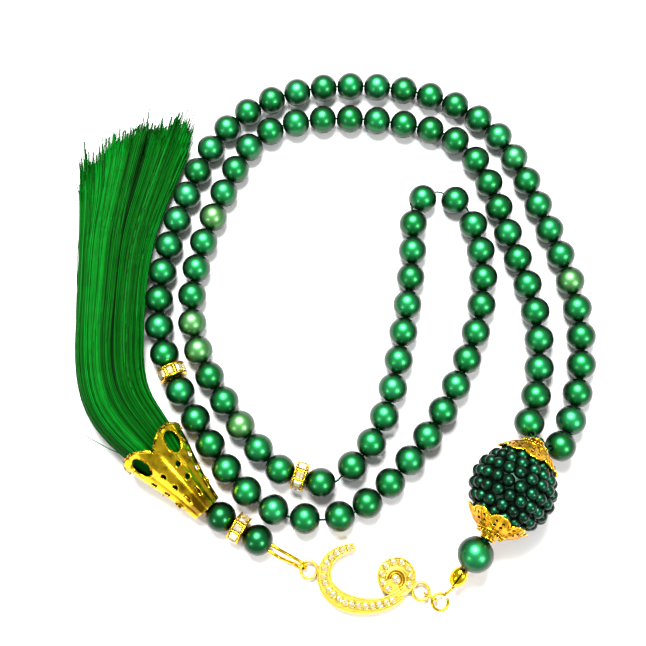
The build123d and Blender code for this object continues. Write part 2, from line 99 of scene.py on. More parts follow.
class Build:
    """Gathers vertices (mm), faces and a tone per vertex into one mesh."""

    def __init__(self):
        self.verts, self.faces, self.tones, self.count = [], [], [], 0

    def add(self, verts, faces, tone=0.5, turn=None, at=None):
        verts = np.asarray(verts, float)
        if turn is not None:
            verts = verts @ np.asarray(turn).T
        if at is not None:
            verts = verts + np.asarray(at)
        self.verts.append(verts)
        self.tones.append(np.broadcast_to(np.asarray(tone, float), (len(verts),)))
        self.faces += [np.asarray(f) + self.count for f in faces if len(f)]
        self.count += len(verts)
        return self

    def piece(self, name, material, smooth=True, sharp=None):
        """The mesh as an object; edges sharper than an angle in degrees are shaded sharp."""
        verts = np.concatenate(self.verts) * MM
        mesh = bpy.data.meshes.new(name)
        mesh.vertices.add(len(verts))
        mesh.vertices.foreach_set("co", verts.astype(np.float32).ravel())
        sizes = np.concatenate([np.full(len(f), f.shape[1]) for f in self.faces])
        corners = np.concatenate([f.ravel() for f in self.faces])
        mesh.loops.add(len(corners))
        mesh.loops.foreach_set("vertex_index", corners.astype(np.int32))
        mesh.polygons.add(len(sizes))
        starts = np.concatenate(([0], np.cumsum(sizes)[:-1]))
        mesh.polygons.foreach_set("loop_start", starts.astype(np.int32))
        mesh.polygons.foreach_set("use_smooth", np.full(len(sizes), smooth))
        mesh.update(calc_edges=True)
        mesh.validate()
        tone = mesh.attributes.new("tone", "FLOAT", "POINT")
        tone.data.foreach_set("value", np.concatenate(self.tones).astype(np.float32))
        if sharp is not None:
            mesh.set_sharp_from_angle(angle=radians(sharp))
        mesh.materials.append(material)
        piece = bpy.data.objects.new(name, mesh)
        bpy.context.scene.collection.objects.link(piece)
        return piece


def place(piece, body, slot, *replaced):
    """Fixes a piece to a body, in place of the CAD nodes it replaces."""
    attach(piece, body)
    if replaced:
        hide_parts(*replaced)


def thicken(piece, thickness, offset):
    """Gives a sheet its thickness: offset 1 outward, -1 inward, 0 both ways."""
    sheet = piece.modifiers.new("sheet", "SOLIDIFY")
    sheet.thickness = thickness * MM
    sheet.offset = offset


def grid_faces(rows, columns, wrap_rows=False, wrap_columns=True):
    """Quads of a grid of vertices numbered row by row."""
    r = np.arange(rows if wrap_rows else rows - 1)
    c = np.arange(columns if wrap_columns else columns - 1)
    r, c = np.meshgrid(r, c, indexing="ij")
    r2, c2 = (r + 1) % rows, (c + 1) % columns
    quads = np.stack((r * columns + c, r * columns + c2, r2 * columns + c2, r2 * columns + c), -1)
    return quads.reshape(-1, 4)


def end_faces(rows, columns):
    """The two polygons that close the first and last rows of a grid."""
    first = np.arange(columns)[::-1]
    return [first[None, :], ((rows - 1) * columns + first[::-1])[None, :]]


def lathe(profile, segments, closed=False):
    """Vertices and faces of a profile of (radius, height) turned about Z; a closed profile makes a ring."""
    profile = np.asarray(profile, float)
    turn = np.arange(segments) * 2 * pi / segments
    r, h = profile[:, :1], profile[:, 1:]
    verts = np.stack((r * np.cos(turn), r * np.sin(turn), h + 0 * turn), -1).reshape(-1, 3)
    faces = [grid_faces(len(profile), segments, wrap_rows=closed)[:, ::-1]]
    if not closed:
        for row, order in ((0, 1), (len(profile) - 1, -1)):
            if profile[row, 0] > 1e-6:
                faces.append((row * segments + np.arange(segments))[::order][None, :])
    return verts, faces


def smooth_path(points, count):
    """Natural cubic curve through points, sampled evenly in chord length."""
    points = np.asarray(points, float)
    knots = np.concatenate(([0], np.cumsum(np.linalg.norm(np.diff(points, axis=0), axis=1))))
    n = len(points)
    h = np.diff(knots)
    system, right = np.eye(n), np.zeros((n, points.shape[1]))
    for i in range(1, n - 1):
        system[i, i - 1 : i + 2] = h[i - 1], 2 * (h[i - 1] + h[i]), h[i]
        right[i] = 6 * ((points[i + 1] - points[i]) / h[i] - (points[i] - points[i - 1]) / h[i - 1])
    bend = np.linalg.solve(system, right)
    t = np.linspace(0, knots[-1], count)
    k = np.clip(np.searchsorted(knots, t, side="right") - 1, 0, n - 2)
    a, b, hk = (knots[k + 1] - t)[:, None], (t - knots[k])[:, None], h[k][:, None]
    return (
        bend[k] * a**3 / (6 * hk)
        + bend[k + 1] * b**3 / (6 * hk)
        + (points[k] / hk - bend[k] * hk / 6) * a
        + (points[k + 1] / hk - bend[k + 1] * hk / 6) * b
    )


def tube(path, radius, sides=12, closed=False):
    """Vertices and faces of a round tube along a path."""
    path = np.asarray(path, float)
    ahead = np.roll(path, -1, 0) - np.roll(path, 1, 0) if closed else np.gradient(path, axis=0)
    ahead = unit(ahead)
    side = np.zeros_like(path)
    start = np.cross(ahead[0], Z)
    side[0] = unit(start if np.linalg.norm(start) > 1e-3 else np.cross(ahead[0], X))
    for i in range(1, len(path)):
        side[i] = unit(side[i - 1] - ahead[i] * np.dot(side[i - 1], ahead[i]))
    up = np.cross(ahead, side)
    turn = np.arange(sides) * 2 * pi / sides
    radius = np.broadcast_to(np.asarray(radius, float), (len(path),))[:, None, None]
    ring = side[:, None] * np.cos(turn)[None, :, None] + up[:, None] * np.sin(turn)[None, :, None]
    verts = (path[:, None] + ring * radius).reshape(-1, 3)
    faces = [grid_faces(len(path), sides, wrap_rows=closed)]
    if not closed:
        faces += end_faces(len(path), sides)
    return verts, faces


def arc(centre, x, y, radius, start, end, count):
    """Points of an arc in the plane of x and y, from a start angle to an end angle in degrees."""
    turn = np.radians(np.linspace(start, end, count))[:, None]
    return np.asarray(centre) + (np.asarray(x) * np.cos(turn) + np.asarray(y) * np.sin(turn)) * radius


def ball(radius, rings, segments, stop=180):
    """Vertices and faces of a ball about Z, or of its cap down to a stop angle from the pole."""
    polar = np.radians(np.linspace(0, stop, rings + 1))
    profile = np.column_stack((np.sin(polar), np.cos(polar)))[::-1] * radius
    profile[-1, 0] = 0.0
    if stop == 180:
        profile[0, 0] = 0.0
    return lathe(profile, segments)


def islands(node):
    """Vertices (mm) of each separate solid of a CAD node."""
    mesh = frame["nodes"][node].data
    co = np.zeros(len(mesh.vertices) * 3, np.float32)
    mesh.vertices.foreach_get("co", co)
    co = co.reshape(-1, 3).astype(float) / MM
    _, merged = np.unique(np.round(co, 3), axis=0, return_inverse=True)
    merged = merged.ravel()
    edges = np.zeros(len(mesh.edges) * 2, np.int32)
    mesh.edges.foreach_get("vertices", edges)
    a, b = merged[edges.reshape(-1, 2)].T
    label = np.arange(merged.max() + 1)
    while True:
        low = np.minimum(label[a], label[b])
        before = label.copy()
        np.minimum.at(label, a, low)
        np.minimum.at(label, b, low)
        label = label[label]
        if (label == before).all():
            break
    return [co[label[merged] == k] for k in np.unique(label[merged])]


def fit_ball(points):
    """Centre and radius of the sphere through points."""
    system = np.column_stack((2 * points, np.ones(len(points))))
    solution = np.linalg.lstsq(system, (points**2).sum(1), rcond=None)[0]
    return solution[:3], sqrt(solution[3] + (solution[:3] ** 2).sum())


def bore_of(points, centre):
    """Axis of a bored ball, found as the direction no vertex lies near."""
    ways = unit(points - centre)
    candidates = np.linalg.eigh(np.cov(ways.T))[1].T
    return min(candidates, key=lambda axis: np.abs(ways @ axis).max())


# ---------------------------------------------------------------- materials
class Shade:
    """A material built node by node. An input takes another node's output, a number, a vector or a colour."""

    def __init__(self, name):
        self.material = bpy.data.materials.new(name)
        self.material.use_nodes = True
        self.nodes = self.material.node_tree.nodes

    def put(self, inputs, values):
        """Sets a node's inputs from values under their names or numbers."""
        for key, value in values.items():
            if isinstance(value, bpy.types.NodeSocket):
                self.material.node_tree.links.new(value, inputs[key])
            else:
                inputs[key].default_value = (*value, 1.0) if inputs[key].type == "RGBA" else value

    def node(self, kind, output, inputs=None, **settings):
        """An output of a new node."""
        node = self.nodes.new(f"ShaderNode{kind}")
        for name, value in settings.items():
            setattr(node, name, value)
        self.put(node.inputs, inputs or {})
        return node.outputs[output]

    def surface(self, inputs):
        """Sets the surface shader, and gives the finished material."""
        self.put(self.nodes["Principled BSDF"].inputs, inputs)
        return self.material

    def tone_colour(self, stops):
        """Colour of the tone that each vertex was built with, through (tone, colour) stops."""
        node = self.nodes.new("ShaderNodeValToRGB")
        elements = node.color_ramp.elements
        while len(elements) < len(stops):
            elements.new(0.5)
        for element, (position, colour) in zip(elements, stops):
            element.position = position
            element.color = (*colour, 1.0)
        self.put(node.inputs, {"Fac": self.node("Attribute", "Fac", attribute_name="tone")})
        return node.outputs["Color"]

    def facing(self):
        """0 where the surface faces the eye, 1 where it turns away."""
        return self.node("LayerWeight", "Facing", {"Blend": 0.5})

    def noise(self, scale, detail, stretch=(1.0, 1.0, 1.0)):
        """Noise in the object's own space."""
        point = self.node("TexCoord", "Object")
        point = self.node("Mapping", "Vector", {"Vector": point, "Scale": stretch})
        return self.node("TexNoise", "Fac", {"Vector": point, "Scale": scale, "Detail": detail})

    def mix(self, factor, first, second, blend_type="MIX"):
        """Mix of two colours."""
        return self.node("Mix", 2, {0: factor, 6: first, 7: second}, data_type="RGBA", blend_type=blend_type)

    def span(self, value, low, high, to_low=0.0, to_high=1.0):
        """A value mapped from low..high to another range, and held at its ends."""
        limits = {"From Min": low, "From Max": high, "To Min": to_low, "To Max": to_high}
        return self.node("MapRange", "Result", {"Value": value, **limits})

    def bump(self, height, distance_mm, strength):
        """Fine relief."""
        inputs = {"Height": height, "Distance": distance_mm * MM, "Strength": strength}
        return self.node("Bump", "Normal", inputs)


def pearl_material(name, stops, roughness, coat):
    """Coated pearl: a metallic green body with painted shade, near black round its edge and below, bright
    where it faces up.
    """
    shade = Shade(name)
    body = shade.tone_colour(stops)
    # The deep colour, the body darkened, serves the painted shade below and the mottled patches.
    deep = shade.mix(1.0, body, (0.03, 0.07, 0.05), "MULTIPLY")
    # Painted shade: the body darkens to the deep colour where the surface turns from the eye.
    shaded = shade.mix(shade.span(shade.facing(), 0.05, 0.52), body, deep)
    upward = shade.node("SeparateXYZ", "Z", {"Vector": shade.node("NewGeometry", "Normal")})
    # Painted shade: darker again where the surface faces down.
    shaded = shade.mix(shade.span(upward, 0.05, 0.9, 0.85, 0.0), shaded, deep)
    mottle = shade.noise(420.0, 4.0)
    inputs = {"Base Color": shade.mix(shade.span(mottle, 0.45, 0.75, 0.0, 0.25), shaded, deep)}
    inputs["Roughness"] = shade.span(mottle, 0.3, 0.7, roughness - 0.03, roughness + 0.04)
    inputs["Normal"] = shade.bump(shade.noise(2600.0, 2.0), 0.006, 0.6)
    return shade.surface(inputs | {"Metallic": 0.9, "Coat Weight": coat, "Coat Roughness": 0.26})


def gold_material(name, bright, deep, crevice, roughness, hammered=0.0, crevice_mm=1.2, dark_reflection_strength=0.0):
    """Yellow gold plate with painted shade, orange where it turns away and brown in its crevices, and on some
    golds painted dark reflections in blotches; faintly scratched or hammered.
    """
    shade = Shade(name)
    # Painted shade: the gold turns to its deep colour where the surface turns from the eye.
    body = shade.mix(shade.span(shade.facing(), 0.15, 0.8), bright, deep)
    # Painted shade: the crevice colour where ambient occlusion finds the surface closed in.
    open_to = shade.node("AmbientOcclusion", "AO", {"Distance": crevice_mm * MM}, samples=4)
    crevice_shade = shade.mix(shade.span(open_to, 0.25, 0.85, 1.0, 0.0), body, crevice)
    worn = shade.mix(shade.span(shade.noise(300.0, 5.0), 0.45, 0.75, 0.0, 0.3), crevice_shade, deep)
    # Painted reflections of dark surroundings: large blotches towards the crevice colour.
    painted_dark_reflections = shade.span(shade.noise(150.0, 3.0, (1.0, 1.0, 0.6)), 0.5, 0.64, 0.0, dark_reflection_strength)
    scratch = shade.noise(900.0, 4.0, (1.0, 7.0, 2.0))
    relief = (shade.noise(1100.0, 3.0), hammered, 1.0) if hammered else (scratch, 0.01, 0.5)
    inputs = {"Base Color": shade.mix(painted_dark_reflections, worn, crevice), "Metallic": 1.0, "Normal": shade.bump(*relief)}
    inputs["Roughness"] = shade.span(scratch, 0.3, 0.7, roughness - 0.05, roughness + 0.1)
    return shade.surface(inputs)


def crystal_material(name, tint):
    """Clear foiled crystal, a little cloudy, its colour tinted with a painted reflection of its gold setting.
    """
    shade = Shade(name)
    cloud = shade.noise(1500.0, 2.0)
    inputs = {"Base Color": shade.mix(shade.span(cloud, 0.35, 0.7), (1.0, 0.96, 0.76), tint)}
    inputs |= {"Metallic": 0.6, "Roughness": 0.1, "IOR": 1.6, "Transmission Weight": 0.35}
    inputs |= {"Coat Weight": 0.8, "Coat Roughness": 0.02, "Normal": shade.bump(cloud, 0.01, 0.4)}
    return shade.surface(inputs)


def thread_material(name, stops, roughness, sheen):
    """Dyed threads, each its own shade, streaked along its length with the darkest."""
    shade = Shade(name)
    streaks = shade.span(shade.noise(260.0, 3.0), 0.4, 0.8, 0.0, 0.3)
    inputs = {"Base Color": shade.mix(streaks, shade.tone_colour(stops), stops[0][1]), "Roughness": roughness}
    inputs |= {"Sheen Weight": sheen, "Sheen Roughness": 0.3, "Sheen Tint": (0.2, 0.9, 0.3)}
    inputs |= {"Specular IOR Level": 0.03, "Normal": shade.bump(shade.noise(5000.0, 2.0), 0.01, 0.5)}
    return shade.surface(inputs)


# Stops of the pearls' and threads' colours run from the darkest tone to the lightest.
EMERALD = [
    (0.0, (0.002, 0.18, 0.03)),
    (0.5, (0.005, 0.28, 0.062)),
    (0.8, (0.02, 0.38, 0.115)),
    (1.0, (0.20, 0.48, 0.13)),  # the pale pearls
]
DEEP_GREEN = [(0.0, (0.001, 0.10, 0.02)), (0.5, (0.002, 0.16, 0.035)), (1.0, (0.005, 0.2, 0.05))]
STUD_GREEN = [(0.0, (0.001, 0.018, 0.008)), (0.5, (0.003, 0.07, 0.03)), (1.0, (0.006, 0.12, 0.05))]
CORD_GREEN = [(0.0, (0.002, 0.02, 0.01)), (1.0, (0.005, 0.07, 0.03))]
TASSEL_GREEN = [
    (0.0, (0.0, 0.012, 0.0)),
    (0.35, (0.0, 0.05, 0.001)),
    (0.75, (0.0, 0.105, 0.004)),
    (1.0, (0.001, 0.18, 0.012)),
]
PEARL = pearl_material("pearl_emerald", EMERALD, roughness=0.38, coat=0.34)
PEARL_DEEP = pearl_material("pearl_deep", DEEP_GREEN, roughness=0.32, coat=0.25)
STUD = pearl_material("pearl_studs", STUD_GREEN, roughness=0.38, coat=0.12)
# Each gold's colours: its own; its deep colour, for painted shade where it turns away and for worn patches;
# and its crevice colour, for painted shade in crevices and painted dark reflections.
GOLD = gold_material("gold_polished", (1.0, 0.70, 0.02), (0.85, 0.42, 0.008), (0.24, 0.085, 0.004), 0.17)
GOLD_CONE = gold_material(
    "gold_cone", (1.0, 0.70, 0.02), (0.75, 0.36, 0.006), (0.12, 0.045, 0.003), 0.17, 0.0, 2.2, 0.85
)
GOLD_CHARM = gold_material(
    "gold_charm", (0.95, 0.77, 0.12), (0.78, 0.54, 0.03), (0.34, 0.17, 0.01), 0.32, 0.035, 2.2
)
GOLD_FILIGREE = gold_material(
    "gold_filigree", (0.92, 0.50, 0.02), (0.58, 0.25, 0.006), (0.16, 0.05, 0.002), 0.28, 0.05, 0.9, 0.5
)
# The crystals' tints are painted reflections of their gold settings.
CRYSTAL = crystal_material("crystal_clear", (0.80, 0.52, 0.14))
CRYSTAL_CHARM = crystal_material("crystal_pale", (0.95, 0.76, 0.20))
CORD = thread_material("cord_nylon", CORD_GREEN, roughness=0.6, sheen=0.1)
TASSEL = thread_material("tassel_viscose", TASSEL_GREEN, roughness=0.55, sheen=0.0)

# ---------------------------------------------------------------- pearls, one mesh for each CAD group
# Where the pale pearls lie
PALE = np.array(((-38, 0), (-36, -8.5), (-26, -26.5), (-31, 18), (-28.5, 33), (69.5, 9)))


def pearl_shape(radius, bore):
    """Bored ball with a rounded mouth at each end of the bore."""
    lip = asin(bore / radius) + 0.12 / radius
    polar = np.linspace(lip, pi - lip, 30)
    outside = np.column_stack((np.sin(polar), np.cos(polar))) * radius
    top = outside[0, 1]
    round_in = [(bore + 0.03, top - 0.02), (bore, top - 0.16), (bore, top - 0.9)]
    low = [(r, -h) for r, h in round_in]
    profile = list(outside) + low + [(bore, 0.0)] + round_in[::-1]
    return lathe(profile[::-1], 36, closed=True)


fullness = 1.008  # pearls a little fuller than in the CAD, within the gaps between them
strand = []  # every strand pearl: centre, bore axis, radius, body
for node in frame["nodes"]:
    on_pendant = node.startswith("pendant_bead")
    on_strand = "beads" in node or node == "counting_bead"
    if not (on_strand or on_pendant or node == "lower_pearl"):
        continue
    bore = 1.4 if on_pendant else 0.85 if on_strand else 1.1
    body = body_of_node[node]
    build = Build()
    for solid in islands(node):
        centre, radius = fit_ball(solid)
        axis = bore_of(solid, centre)
        pale = np.hypot(*(PALE - centre[:2]).T).min() < 4.5
        tone = rng.uniform(0.9, 1.0) if pale else np.clip(rng.normal(0.5, 0.16), 0.1, 0.82)
        build.add(*pearl_shape(radius * fullness, bore), tone, basis(axis), centre)
        if on_strand:
            strand.append((centre, axis, radius, body))
    place(build.piece(f"pearls_{node}", PEARL_DEEP if on_pendant else PEARL), body, "pearl", node)

# ---------------------------------------------------------------- cord showing in the gaps between pearls
def cord_run(build, points):
    """Twisted cord through points: three plies wound round a smooth path."""
    count, plies, lay = 14, 3, 1.3
    path = smooth_path(points, count)
    length = np.linalg.norm(np.diff(path, axis=0), axis=1).sum()
    ahead = unit(np.gradient(path, axis=0))
    side = unit(np.cross(ahead, Z + 0.01))
    up = np.cross(ahead, side)
    along = np.linspace(0, length, count)
    for ply in range(plies):
        angle = (along / lay * 2 * pi + ply * 2 * pi / plies)[:, None]
        way = path + (side * np.cos(angle) + up * np.sin(angle)) * 0.13
        build.add(*tube(way, 0.19, 6), tone=rng.uniform(0.2, 0.9))


imam_centre, imam_axis = joint_place("imam_bead_spin")
upper_end, _ = joint_place("upper_cap_spin")
lower_end, _ = joint_place("lower_cap_spin")
pearl_centre, pearl_axis = joint_place("lower_pearl_spin")
shell_mouth, _ = joint_place("clamshell_swing")

# Both mouths of every pearl: point, way out, body, pearl
mouths = []
for k, (centre, axis, radius, body) in enumerate(strand):
    mouths += [(centre + axis * side * radius, axis * side, body, k) for side in (1, -1)]
pairs = []
for i, (p, a, _, pearl) in enumerate(mouths):
    for j, (q, b, _, other_pearl) in enumerate(mouths[i + 1 :], i + 1):
        gap = np.linalg.norm(p - q)
        if pearl != other_pearl and gap < 6.0 and np.dot(a, b) < 0.3:
            pairs.append((gap, i, j))

# A cord between the nearest free mouths, from inside one pearl to inside the next
inside = 2.2
cords = {}  # points of each cord, under the bodies that hold its two ends
taken = set()
for gap, i, j in sorted(pairs):
    if i in taken or j in taken:
        continue
    taken |= {i, j}
    p, a, body, _ = mouths[i]
    q, b, other, _ = mouths[j]
    points = [p - a * inside, p - a * 0.5, q - b * 0.5, q - b * inside]
    cords.setdefault(tuple(sorted({body, other})), []).append(points)

# The strand's two ends go side by side through the upper cap, and on through the larger pearl to the knot.
ends = [mouths[i] for i in range(len(mouths)) if i not in taken]
ends = sorted(ends, key=lambda end: np.linalg.norm(end[0] - upper_end))[:2]
sideways = unit(np.cross(imam_axis, Z))
for p, a, _, _ in ends:
    leave = upper_end + sideways * (0.45 if np.dot(p - upper_end, sideways) > 0 else -0.45)
    points = [p - a * inside, p - a * 0.3, p + a * 0.5]
    points += [leave + imam_axis * 0.7, leave - imam_axis * 0.4, leave - imam_axis * 3]
    cords["strand_right",].append(points)
for side in (0.4, -0.4):
    offset = sideways * side
    points = [lower_end + imam_axis * 2 + offset, lower_end + offset, pearl_centre - pearl_axis * 4 + offset]
    cords["strand_right",].append(points)
    points = [pearl_centre + pearl_axis * 3.8 + offset * 0.8, shell_mouth + offset * 0.7]
    points += [shell_mouth + pearl_axis * 2.4 + offset * 0.4]
    cords["strand_right",].append(points)

carrier = {"counting_bead": "strand_middle"}  # the body whose cord runs through a pearl with its own body
cord_nodes = {"strand_right": "cord_right", "strand_middle": "cord_middle", "strand_left": "cord_left"}
straight = {body: Build() for body in cord_nodes}
across = []
for bodies, runs in cords.items():
    held = sorted({carrier.get(body, body) for body in bodies})
    for points in runs:
        if len(held) == 1:
            cord_run(straight[held[0]], points)
        else:
            across.append((held, points))
for body, build in straight.items():
    place(build.piece(cord_nodes[body] + "_runs", CORD), body, "cord", cord_nodes[body])
# Cords over a fold, each a piece of its own between the two pearls, baked where it lies.
for k, (held, points) in enumerate(across):
    build = Build()
    cord_run(build, points)
    piece = build.piece(f"cord_over_fold_{k}", CORD)
    parent = "strand_right" if "strand_right" in held else "strand_middle"
    near = min(strand, key=lambda pearl: np.linalg.norm(pearl[0] - points[0]))[3]
    start, end = (points[1], points[2]) if carrier.get(near, near) == parent else (points[2], points[1])
    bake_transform(piece)

# ---------------------------------------------------------------- dividers
def brilliant(width, depth, height):
    """Square faceted stone, its table facing +X: vertices and faces."""
    verts = []
    # Share of the outline at each level of facets, and the level's share of the height
    for keep, rise in ((0.8, 0.0), (1.0, 0.45), (1.0, 0.6), (0.82, 0.85), (0.55, 1.0)):
        w, d = width / 2 * keep, depth / 2 * keep
        c = 0.28 * min(w, d)
        quarter = [(w, d - c), (w - c, d), (c - w, d), (-w, d - c)]
        verts += [(height * rise, p, q) for p, q in quarter + [(-p, -q) for p, q in quarter]]
    return np.array(verts), [grid_faces(5, 8), *end_faces(5, 8)]


def rondelle(name, bore):
    """Divider: two beaded flanges, a hub, and eight square stones between them."""
    centre, axis = joint_place(f"{name}_spin")
    turn = basis(axis)
    half, outer, floor = 1.65, 3.9, 2.62  # half width, radius of the flanges, radius of the hub
    inner = half - 0.45
    e = 0.14  # bevel
    profile = [(bore, e - half), (bore + e, -half), (outer - e, -half), (outer, e - half)]
    profile += [(outer, -inner - e), (outer - e, -inner), (floor + e, -inner), (floor, e - inner)]
    profile += [(r, -h) for r, h in profile[::-1]]
    metal = Build()
    metal.add(*lathe(profile, 64, closed=True), turn=turn, at=centre)
    grain = ball(0.24, 5, 8)
    for k in range(16):
        for level in (0.26 - half, half - 0.26):
            metal.add(*grain, turn=turn, at=centre + turn @ around(3.72, (k + 0.5) / 16, level))
    for k in range(8):
        post = [centre + turn @ around(3.2, (k + 0.5) / 8, level) for level in (0.2 - half, 0, half - 0.2)]
        metal.add(*tube(post, 0.3, 8))
    stones = Build()
    verts, faces = brilliant(1.75, 2 * inner - 0.1, 1.2)
    for k in range(8):
        tone = rng.uniform(0, 1)
        stones.add(verts + (floor + 0.05, 0, 0), faces, tone, turn @ spin_about_z(k / 8 * 2 * pi), centre)
    place(metal.piece(f"{name}_metal", GOLD, sharp=50), name, "gold", f"{name}_ring")
    place(stones.piece(f"{name}_crystals", CRYSTAL, smooth=False), name, "crystal", f"{name}_stones")


rondelle("divider_1", 1.35)
rondelle("divider_2", 1.35)
rondelle("pendant_divider", 1.4)

# ---------------------------------------------------------------- leader bead
imam_turn = basis(imam_axis)
core_r, core_bore = 9.7, 1.3
lip = asin(core_bore / core_r)
polar = np.linspace(lip, pi - lip, 50)
outside = np.column_stack((np.sin(polar), np.cos(polar))) * core_r
inside = [(core_bore, -5.0), (core_bore, 0.0), (core_bore, 5.0)]
core_shape = lathe((list(outside) + inside)[::-1], 72, closed=True)
core = Build().add(*core_shape, tone=0.0, turn=imam_turn, at=imam_centre)
place(core.piece("leader_core", STUD), "imam_bead", "imam_pearl", "imam_core")

# Rings of studs, packed as close as they go: the ring's angle from the equator, and the studs in it
STUD_RINGS = ((0, 20), (18, 19), (36, 16), (54, 12), (70, 7))
stud_r, stud_seat = 1.66, 9.58
studs = Build()
for latitude, in_ring in STUD_RINGS:
    for side in (1, -1) if latitude else (1,):
        for k in range(in_ring):
            azimuth = 360 / in_ring * (k + rng.normal(scale=0.03)) + 9 * latitude
            way = imam_turn @ heading(azimuth, side * latitude + rng.normal(scale=0.4))
            tone = np.clip(rng.normal(0.5, 0.2), 0.1, 1)
            stud = ball(stud_r, 9, 18, stop=120)
            studs.add(*stud, tone=tone, turn=basis(way), at=imam_centre + way * stud_seat)
place(studs.piece("leader_studs", STUD), "imam_bead", "imam_pearl", "imam_studs")

# Outline of a filigree cap from its petals' tips to its collar: radius, height from the bead's centre
BELL = [(7.75, 8.3), (7.15, 9.1), (6.25, 10.25), (4.9, 11.3), (3.4, 12.3), (2.4, 13.1), (1.75, 13.7)]
BELL += [(1.7, 14.15)]
petals = 8
# Piercings on both sides of each petal: share of the way down the bell, and half sizes down and across it
PIERCINGS = ((0.62, 0.055, 0.085), (0.79, 0.045, 0.07), (0.44, 0.04, 0.07))


def cap(side, axis):
    """Filigree cap: a pierced bell with curling petals in relief, its rims wired and ringed with grains."""
    rows, columns = 70, 384
    axis_turn = basis(axis)
    bell = smooth_path(BELL[::-1], rows)
    down = np.linspace(0, 1, rows)[:, None]
    turn = (np.arange(columns) * 2 * pi / columns)[None, :]
    petal = np.abs(np.cos(turn * petals / 2))
    share = down * (1 - 0.22 * (1 - petal**0.6))
    r = np.interp(share, np.linspace(0, 1, rows), bell[:, 0])
    h = np.interp(share, np.linspace(0, 1, rows), bell[:, 1])
    r = r + 0.35 * np.clip((share - 0.6) / 0.4, 0, 1) ** 2 * petal
    in_petal = turn * petals / (2 * pi)
    rib = np.exp(-((np.abs(in_petal % 1 - 0.5) * 2 - 1) ** 2) / 0.006)
    scroll = np.sin(petals * turn + 9 * share) * np.sin(petals * turn * 2 - 14 * share)
    lift = 0.12 * scroll * np.clip(share * 4 - 0.6, 0, 1) * (share < 0.95) + 0.22 * rib * (share > 0.25)
    r, h = r + lift * 0.7, h + lift * 0.7
    verts = np.stack((r * np.cos(turn), r * np.sin(turn), h), -1)
    lateral = (in_petal + 0.5) % 1 - 0.5 + 0 * share
    hole = np.zeros_like(share, bool)
    for offset in (-0.21, 0.21):
        for at, tall, wide in PIERCINGS:
            across = lateral - offset * (1.15 - 0.35 * share)
            hole |= (across / wide) ** 2 + ((share - at) / tall) ** 2 < 1
    quads = grid_faces(rows, columns)
    kept = quads[hole.ravel()[quads].sum(1) < 2]
    build = Build().add(verts.reshape(-1, 3), [kept], turn=axis_turn, at=imam_centre)
    piece = build.piece(f"cap_{side}_filigree", GOLD_FILIGREE)
    thicken(piece, 0.34, 1.0)
    place(piece, f"imam_{side}_cap", "filigree", f"imam_{side}_cap")
    wires = Build()
    edge = verts[-1] + 0.05 * np.stack((np.cos(turn[0]), np.sin(turn[0]), 0 * turn[0]), -1)
    collar = arc((0, 0, 14.0), X, Y, 1.75, 0, 350, 36)
    middle = arc((0, 0, 12.05), X, Y, 3.95, 0, 355, 72)
    for ring, wire_r in ((edge[::2], 0.26), (collar, 0.3), (middle, 0.2)):
        wires.add(*tube(ring, wire_r, 8, closed=True), turn=axis_turn, at=imam_centre)
    grain = ball(0.3, 5, 8)
    for k in range(24):
        wires.add(*grain, turn=axis_turn, at=imam_centre + axis_turn @ around(3.3, k / 24, 12.75))
    place(wires.piece(f"cap_{side}_filigree_wires", GOLD), f"imam_{side}_cap", "filigree")


cap("upper", imam_axis)
cap("lower", -imam_axis)

# ---------------------------------------------------------------- clamshell bead tip, hook, knot
shell_axis = heading(231.5, -28.7)
shell_centre = shell_mouth + shell_axis * 2.75
shell_side = unit(np.cross(shell_axis, Z))
shell_turn = np.column_stack((np.cross(shell_side, shell_axis), shell_side, shell_axis))
hook_centre = np.array((23.6, -74.3, 2.0))


def half_shell(name, side, opening):
    """Half of the clamshell on one side of its seam, open to an angle at the mouth where the cord enters."""
    rows, columns = 36, 40
    polar = np.linspace(radians(opening), radians(150), rows)[:, None]
    turn = np.radians(np.linspace(5, 175, columns))[None, :]
    r = 1.98 * np.sin(polar) ** 0.9
    verts = np.stack((r * np.cos(turn), side * r * np.sin(turn), 2.72 * np.cos(polar) + 0 * turn), -1)
    faces = [grid_faces(rows, columns, wrap_columns=False)]
    build = Build().add(verts.reshape(-1, 3), faces, turn=shell_turn, at=shell_centre)
    piece = build.piece(f"{name}_shell", GOLD)
    thicken(piece, 0.3, 0.0)
    lip_bevel = piece.modifiers.new("lip", "BEVEL")
    lip_bevel.width = 0.08 * MM
    lip_bevel.segments = 2
    place(piece, "clamshell", "gold", name)


half_shell("clamshell_lid", 1, 4)
half_shell("clamshell_cup", -1, 2)
arm_start = shell_centre + shell_axis * 2.35 - shell_side * 0.5
inward = unit((arm_start - hook_centre) * (1, 1, 0))
across = np.cross(Z, inward)
arm = [arm_start, arm_start + shell_axis, hook_centre + inward * 3.1 + Z * 0.35]
arm += [hook_centre + inward * 2.2 + across * 0.25]
loop = arc(hook_centre, inward, across, 2.05, 0, 335, 60)
hook = Build().add(*tube(np.vstack((smooth_path(arm, 24)[:-1], loop)), 0.4, 12))
place(hook.piece("clamshell_hook", GOLD), "clamshell", "gold")
knot = Build()
for k in range(3):
    tip = basis(unit(rng.normal(size=3)))
    loop = arc((0, 0, 0), tip[:, 0], tip[:, 1], 0.5, 0, 345, 24)
    loop = loop + rng.normal(scale=0.05, size=loop.shape)
    knot.add(*tube(loop, 0.34, 8, closed=True), tone=0.3 + 0.2 * k, at=shell_centre)
place(knot.piece("cord_knot", CORD), "strand_right", "cord")

